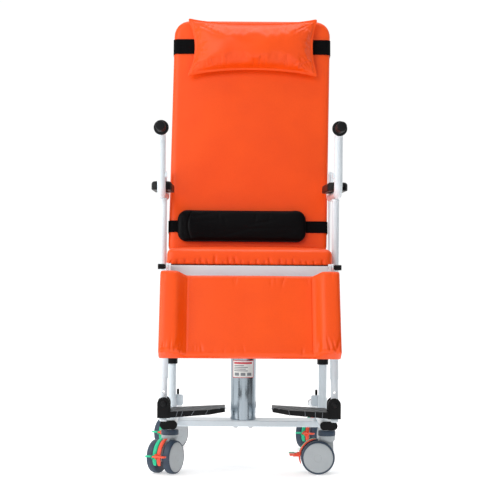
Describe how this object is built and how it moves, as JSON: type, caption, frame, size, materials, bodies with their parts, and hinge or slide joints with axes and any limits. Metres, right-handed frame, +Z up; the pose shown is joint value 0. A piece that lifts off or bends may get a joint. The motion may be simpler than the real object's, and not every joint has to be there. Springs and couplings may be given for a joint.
{
  "type": "stretcher trolley",
  "caption": "Hydraulic transfer chair on casters whose padded backrest and leg rest open flat into a stretcher, with flip-up arms and folding footplates.",
  "frame": {"origin": "on the floor under the middle of the chair, with the frame even about the Z axis and the lift column 13 mm to the left of it", "axes": "+Z up, -Y towards the front where the feet rest, +X to the right as seen from the front"},
  "size_m": [0.6116, 0.8909, 1.4301],
  "materials": {
    "white_tube": "white powder coat, satin",
    "black_plastic": "moulded, fine grain",
    "chrome": "polished",
    "steel": "bright zinc",
    "board": "dark faced plywood",
    "orange_upholstery": "coated cloth with a leather grain",
    "black_upholstery": "coated cloth with a leather grain",
    "black_webbing": "woven webbing",
    "spring_black": "black gloss paint",
    "grip_rubber": "ribbed, matt",
    "arm_pad_black": "moulded polyurethane skin",
    "pale_grey_plastic": "moulded, fine grain",
    "tyre_grey": "solid rubber tread on moulded discs",
    "green_plastic": "moulded"
  },
  "bodies": {
    "base": {"base_rails": "white_tube", "base_crossbar": "white_tube", "rail_end_caps": "black_plastic", "column_cylinder": "chrome", "column_gland": "black_plastic", "column_bolts": "steel", "guide_posts": "white_tube", "post_sockets": "white_tube", "pump_block": "black_plastic"},
    "clamp_left": {"clamp_knob_left": "black_plastic"},
    "clamp_right": {"clamp_knob_right": "black_plastic"},
    "pump_pedal": {"pump_pedal": "steel"},
    "release_pedal": {"release_pedal": "steel"},
    "seat": {"seat_frame": "white_tube", "seat_front_panel": "white_tube", "seat_board": "board", "seat_pad": "orange_upholstery", "arm_front_posts": "white_tube", "sleeve_bushings": "black_plastic", "leg_hinge_pins": "black_plastic", "footrest_hangers": "white_tube", "ram": "steel", "ram_head": "steel"},
    "footrest_left": {"footrest_tube_left": "white_tube"},
    "footrest_right": {"footrest_tube_right": "white_tube"},
    "footplate_left": {"footplate_left": "black_plastic"},
    "footplate_right": {"footplate_right": "black_plastic"},
    "legrest": {"leg_frame": "white_tube", "leg_pad": "orange_upholstery"},
    "leg_spring_cylinder": {"leg_spring_cylinder": "spring_black"},
    "leg_spring_rod": {"leg_spring_rod": "steel"},
    "backrest": {"back_frame": "white_tube", "back_board": "board", "back_pad": "orange_upholstery", "pillow": "orange_upholstery", "pillow_strap": "black_webbing", "waist_pad": "black_upholstery", "waist_strap": "black_webbing", "push_bar": "white_tube", "push_grips": "grip_rubber"},
    "back_spring_cylinder": {"back_spring_cylinder": "spring_black"},
    "back_spring_rod": {"back_spring_rod": "steel"},
    "caster_front_left": {"caster_front_left_housing": "pale_grey_plastic"},
    "wheels_front_left": {"caster_front_left_wheels": "tyre_grey"},
    "brake_front_left": {"caster_front_left_pedals": "green_plastic"},
    "caster_front_right": {"caster_front_right_housing": "pale_grey_plastic"},
    "wheels_front_right": {"caster_front_right_wheels": "tyre_grey"},
    "brake_front_right": {"caster_front_right_pedals": "green_plastic"},
    "caster_rear_left": {"caster_rear_left_housing": "pale_grey_plastic"},
    "wheels_rear_left": {"caster_rear_left_wheels": "tyre_grey"},
    "brake_rear_left": {"caster_rear_left_pedals": "green_plastic"},
    "caster_rear_right": {"caster_rear_right_housing": "pale_grey_plastic"},
    "wheels_rear_right": {"caster_rear_right_wheels": "tyre_grey"},
    "brake_rear_right": {"caster_rear_right_pedals": "green_plastic"},
    "arm_left": {"arm_tube_left": "white_tube", "arm_pad_left": "arm_pad_black", "arm_grip_left": "grip_rubber"},
    "arm_right": {"arm_tube_right": "white_tube", "arm_pad_right": "arm_pad_black", "arm_grip_right": "grip_rubber"}
  },
  "joints": [
    {"name": "caster_swivel_front_left", "type": "hinge", "parent": "base", "child": "caster_front_left", "pos_m": [-0.234, -0.245, 0.128], "axis": [0, 0, 1], "continuous": true},
    {"name": "wheel_spin_front_left", "type": "hinge", "parent": "caster_front_left", "child": "wheels_front_left", "pos_m": [-0.24626, -0.26906, 0.05], "axis": [0.891, -0.454, 0], "continuous": true},
    {"name": "brake_rock_front_left", "type": "hinge", "parent": "caster_front_left", "child": "brake_front_left", "pos_m": [-0.27032, -0.31628, 0.0585], "axis": [-0.454, -0.891, 0], "range_deg": [-6, 6]},
    {"name": "caster_swivel_front_right", "type": "hinge", "parent": "base", "child": "caster_front_right", "pos_m": [0.234, -0.245, 0.128], "axis": [0, 0, 1], "continuous": true},
    {"name": "wheel_spin_front_right", "type": "hinge", "parent": "caster_front_right", "child": "wheels_front_right", "pos_m": [0.207, -0.245, 0.05], "axis": [0, -1, 0], "continuous": true},
    {"name": "brake_rock_front_right", "type": "hinge", "parent": "caster_front_right", "child": "brake_front_right", "pos_m": [0.154, -0.245, 0.0585], "axis": [-1, 0, 0], "range_deg": [-6, 6]},
    {"name": "caster_swivel_rear_left", "type": "hinge", "parent": "base", "child": "caster_rear_left", "pos_m": [-0.234, 0.375, 0.128], "axis": [0, 0, 1], "continuous": true},
    {"name": "wheel_spin_rear_left", "type": "hinge", "parent": "caster_rear_left", "child": "wheels_rear_left", "pos_m": [-0.24831, 0.3521, 0.05], "axis": [0.848, -0.5299, 0], "continuous": true},
    {"name": "brake_rock_rear_left", "type": "hinge", "parent": "caster_rear_left", "child": "brake_rear_left", "pos_m": [-0.27639, 0.30716, 0.0585], "axis": [-0.5299, -0.848, 0], "range_deg": [-6, 6]},
    {"name": "caster_swivel_rear_right", "type": "hinge", "parent": "base", "child": "caster_rear_right", "pos_m": [0.234, 0.375, 0.128], "axis": [0, 0, 1], "continuous": true},
    {"name": "wheel_spin_rear_right", "type": "hinge", "parent": "caster_rear_right", "child": "wheels_rear_right", "pos_m": [0.22174, 0.35094, 0.05], "axis": [0.891, -0.454, 0], "continuous": true},
    {"name": "brake_rock_rear_right", "type": "hinge", "parent": "caster_rear_right", "child": "brake_rear_right", "pos_m": [0.19768, 0.30372, 0.0585], "axis": [-0.454, -0.891, 0], "range_deg": [-6, 6]},
    {"name": "seat_lift", "type": "slide", "parent": "base", "child": "seat", "axis": [0, 0, 1], "range_m": [0, 0.15]},
    {"name": "clamp_turn_left", "type": "hinge", "parent": "base", "child": "clamp_left", "pos_m": [-0.21825, 0.042, 0.206], "axis": [0, 0, 1], "range_deg": [0, 90]},
    {"name": "arm_flip_left", "type": "hinge", "parent": "seat", "child": "arm_left", "pos_m": [-0.266, 0.22, 0.9075], "axis": [-1, 0, 0], "range_deg": [0, 75]},
    {"name": "footrest_slide_left", "type": "slide", "parent": "seat", "child": "footrest_left", "axis": [0, 0.2079, 0.9781], "range_m": [0, 0.05]},
    {"name": "footplate_fold_left", "type": "hinge", "parent": "footrest_left", "child": "footplate_left", "pos_m": [-0.25, -0.31, 0.213], "axis": [0, -1, 0], "range_deg": [0, 85]},
    {"name": "clamp_turn_right", "type": "hinge", "parent": "base", "child": "clamp_right", "pos_m": [0.21825, 0.042, 0.206], "axis": [0, 0, 1], "range_deg": [0, 90]},
    {"name": "arm_flip_right", "type": "hinge", "parent": "seat", "child": "arm_right", "pos_m": [0.266, 0.22, 0.9075], "axis": [-1, 0, 0], "range_deg": [0, 75]},
    {"name": "footrest_slide_right", "type": "slide", "parent": "seat", "child": "footrest_right", "axis": [0, 0.2079, 0.9781], "range_m": [0, 0.05]},
    {"name": "footplate_fold_right", "type": "hinge", "parent": "footrest_right", "child": "footplate_right", "pos_m": [0.25, -0.31, 0.213], "axis": [0, 1, 0], "range_deg": [0, 85]},
    {"name": "pump_press", "type": "hinge", "parent": "base", "child": "pump_pedal", "pos_m": [0, 0.108, 0.17], "axis": [-1, 0, 0], "range_deg": [0, 15], "stiffness_Nm_per_rad": 25, "springref_deg": -20.05},
    {"name": "release_press", "type": "hinge", "parent": "base", "child": "release_pedal", "pos_m": [0, 0.108, 0.17], "axis": [-1, 0, 0], "range_deg": [0, 10], "stiffness_Nm_per_rad": 10, "springref_deg": -17.19},
    {"name": "back_recline", "type": "hinge", "parent": "seat", "child": "backrest", "pos_m": [0, 0.235, 0.635], "axis": [-1, 0, 0], "range_deg": [0, 80]},
    {"name": "leg_raise", "type": "hinge", "parent": "seat", "child": "legrest", "pos_m": [0, -0.275, 0.614], "axis": [-1, 0, 0], "range_deg": [0, 65]},
    {"name": "back_spring_swing", "type": "hinge", "parent": "seat", "child": "back_spring_cylinder", "pos_m": [0.1, -0.08, 0.53], "axis": [1, 0, 0], "range_deg": [0, 3.94]},
    {"name": "back_spring_travel", "type": "slide", "parent": "back_spring_cylinder", "child": "back_spring_rod", "axis": [0, -0.9879, -0.1552], "range_m": [0, 0.07571]},
    {"name": "leg_spring_swing", "type": "hinge", "parent": "seat", "child": "leg_spring_cylinder", "pos_m": [-0.1, 0.06, 0.545], "axis": [-1, 0, 0], "range_deg": [0, 8.26]},
    {"name": "leg_spring_travel", "type": "slide", "parent": "leg_spring_cylinder", "child": "leg_spring_rod", "axis": [0, -0.9939, -0.1101], "range_m": [0, 0.10025]}
  ],
  "couplings": [
    {"joint": "back_spring_swing", "follows": "back_recline", "ratio": 0.048592},
    {"joint": "back_spring_travel", "follows": "back_recline", "m_per_rad": 0.05408},
    {"joint": "leg_spring_swing", "follows": "leg_raise", "ratio": 0.1263},
    {"joint": "leg_spring_travel", "follows": "leg_raise", "m_per_rad": 0.08819}
  ]
}
